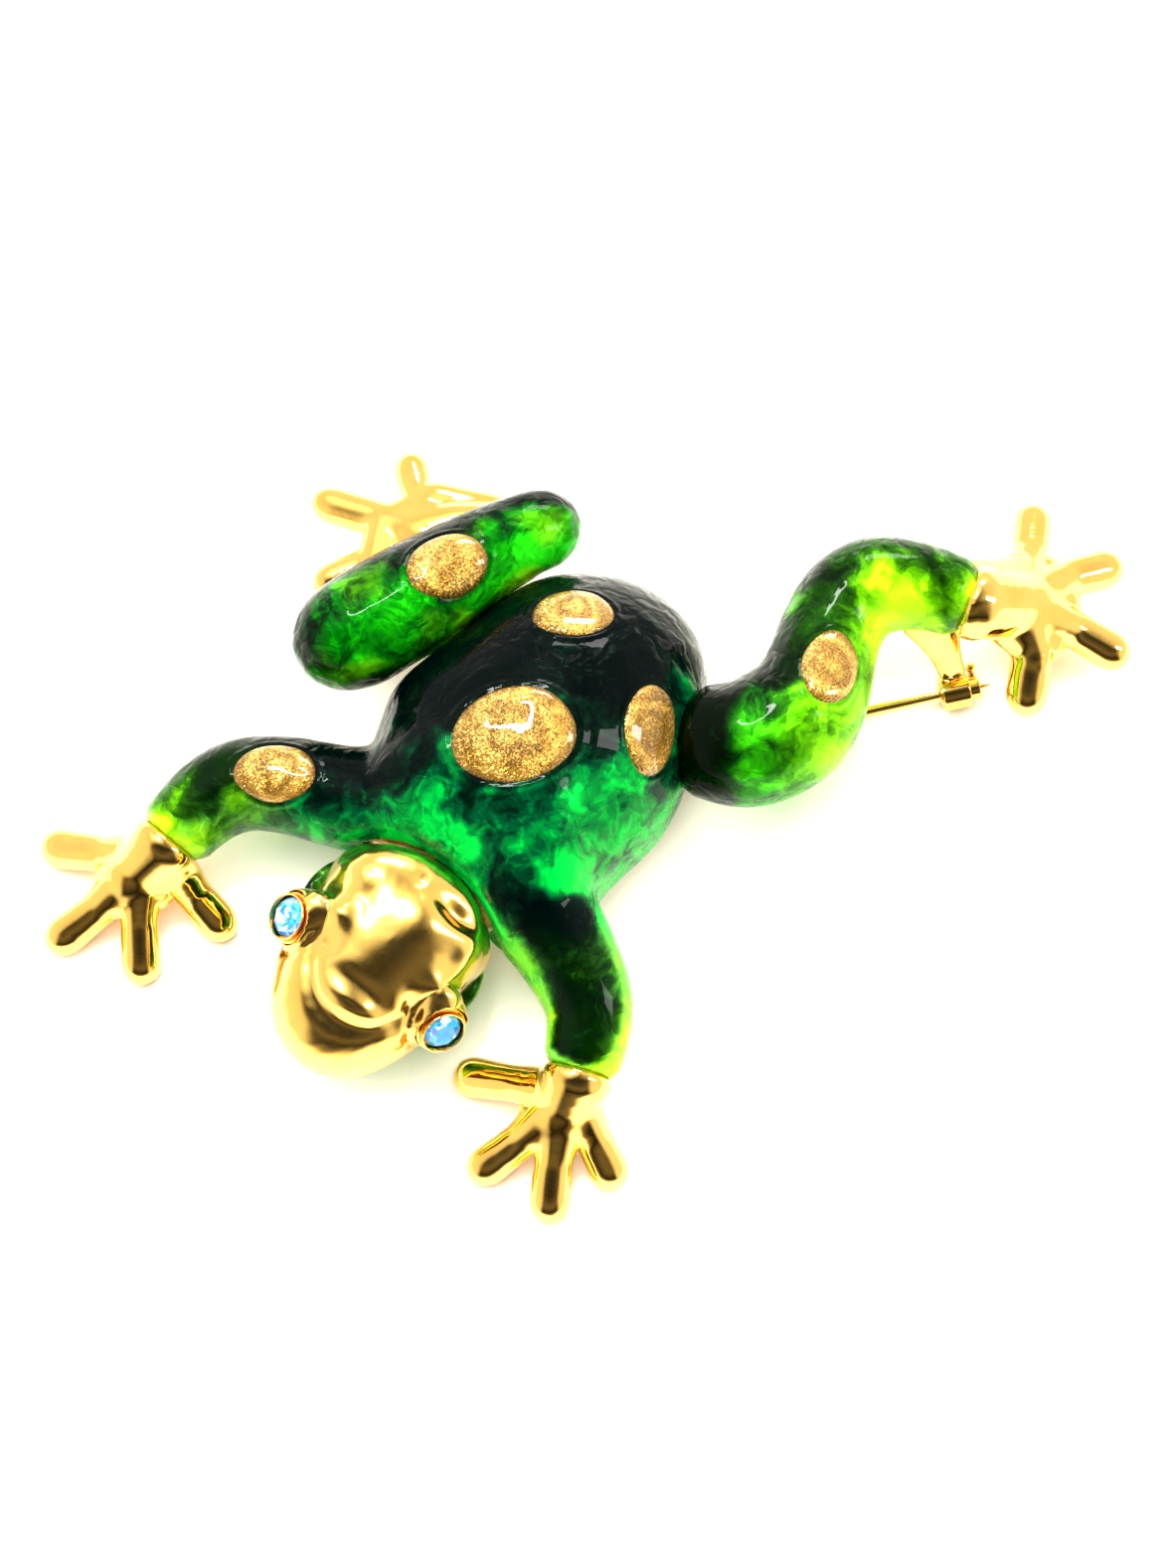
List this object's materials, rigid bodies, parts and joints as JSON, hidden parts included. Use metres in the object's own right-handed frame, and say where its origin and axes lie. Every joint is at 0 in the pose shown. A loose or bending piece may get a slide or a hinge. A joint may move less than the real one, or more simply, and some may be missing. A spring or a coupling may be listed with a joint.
{
  "type": "frog brooch",
  "caption": "Frog brooch with enamelled body and limbs, gold head, hands and feet, crystal eyes, glitter spots, a hinged pin and a safety catch.",
  "frame": {"origin": "centre of the bounding box in X and Y, at the lowest point in Z, which is the level of the surface the brooch lies on", "axes": "+X to the right along the brooch's length, roughly along the pin from hinge to point; +Y up the front as the brooch is looked at; +Z out of the front face"},
  "size_m": [0.076, 0.0558, 0.0159],
  "materials": {
    "polished_gold": "mirror-polished gold plate",
    "back_gold": "satin gold plate as cast",
    "pin_gold": "bright gold plate",
    "green_enamel": "deep emerald enamel over crinkled foil, glossy",
    "lime_enamel": "lime to emerald enamel over crinkled foil, glossy",
    "glitter": "gold glitter under a clear gloss",
    "crystal": "sky-blue faceted crystal"
  },
  "bodies": {
    "frog": {"body_casting": "back_gold", "body_enamel": "green_enamel", "right_leg_casting": "back_gold", "right_leg_enamel": "lime_enamel", "left_leg_casting": "back_gold", "left_leg_enamel": "green_enamel", "throat": "lime_enamel", "head": "polished_gold", "left_hand": "polished_gold", "right_hand": "polished_gold", "left_foot": "polished_gold", "right_foot": "polished_gold", "left_eye_cup": "polished_gold", "right_eye_cup": "polished_gold", "left_eye_crystal": "crystal", "right_eye_crystal": "crystal", "spot_thigh": "glitter", "spot_rump": "glitter", "spot_back": "glitter", "spot_hip": "glitter", "spot_shin": "glitter", "spot_arm": "glitter", "back_plate": "back_gold", "hinge_bracket": "back_gold", "hinge_rivet": "back_gold", "catch": "pin_gold"},
    "pin": {"pin_stem": "pin_gold"},
    "safety_sleeve": {"catch_sleeve": "pin_gold"}
  },
  "joints": [
    {"name": "pin_hinge", "type": "hinge", "parent": "frog", "child": "pin", "pos_m": [0.00005, 0.00448, 0.00139], "axis": [-0.2267, 0.974, 0], "range_deg": [0, 100]},
    {"name": "sleeve_turn", "type": "hinge", "parent": "frog", "child": "safety_sleeve", "pos_m": [0.02596, 0.01051, 0.00139], "axis": [0.974, 0.2267, 0], "range_deg": [0, 125]}
  ]
}
